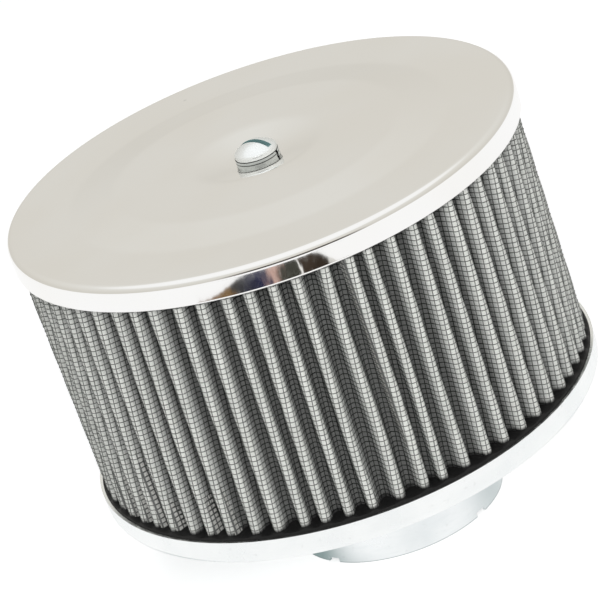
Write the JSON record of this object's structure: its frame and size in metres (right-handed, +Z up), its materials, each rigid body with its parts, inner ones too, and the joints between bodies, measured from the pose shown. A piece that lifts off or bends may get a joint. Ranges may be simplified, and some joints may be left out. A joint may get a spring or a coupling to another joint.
{
  "type": "round air cleaner",
  "caption": "Round air cleaner with a chromed lid, a pleated wire-gauze element and a zinc-plated pan with an offset clamp-on neck.",
  "frame": {"origin": "centre of the neck's lower end, on the neck's axis", "axes": "+Z up the neck towards the lid; the lid's axis lies 5 mm away towards -X"},
  "size_m": [0.14, 0.14, 0.1149],
  "materials": {
    "cover_chrome": "bright chrome plate",
    "screw_zinc": "bright zinc plate",
    "washer_zinc": "zinc plate",
    "pan_zinc": "bright zinc plate",
    "neck_zinc": "bright zinc plate",
    "bridge_zinc": "zinc plate",
    "nut_steel": "plain steel",
    "rivet_zinc": "zinc plate",
    "moulded_rubber": "moulded, matte",
    "wire_gauze": "woven wire, dull",
    "filter_cotton": "cotton gauze"
  },
  "bodies": {
    "root": {"top_cover": "cover_chrome", "cover_screw": "screw_zinc", "spring_washer": "washer_zinc", "base_pan": "pan_zinc", "neck_tube": "neck_zinc", "screw_bridge": "bridge_zinc", "bridge_nut": "nut_steel", "bridge_rivets": "rivet_zinc", "upper_end_ring": "moulded_rubber", "lower_end_ring": "moulded_rubber", "outer_wire_mesh": "wire_gauze", "filter_media": "filter_cotton", "inner_wire_mesh": "wire_gauze"}
  },
  "joints": []
}
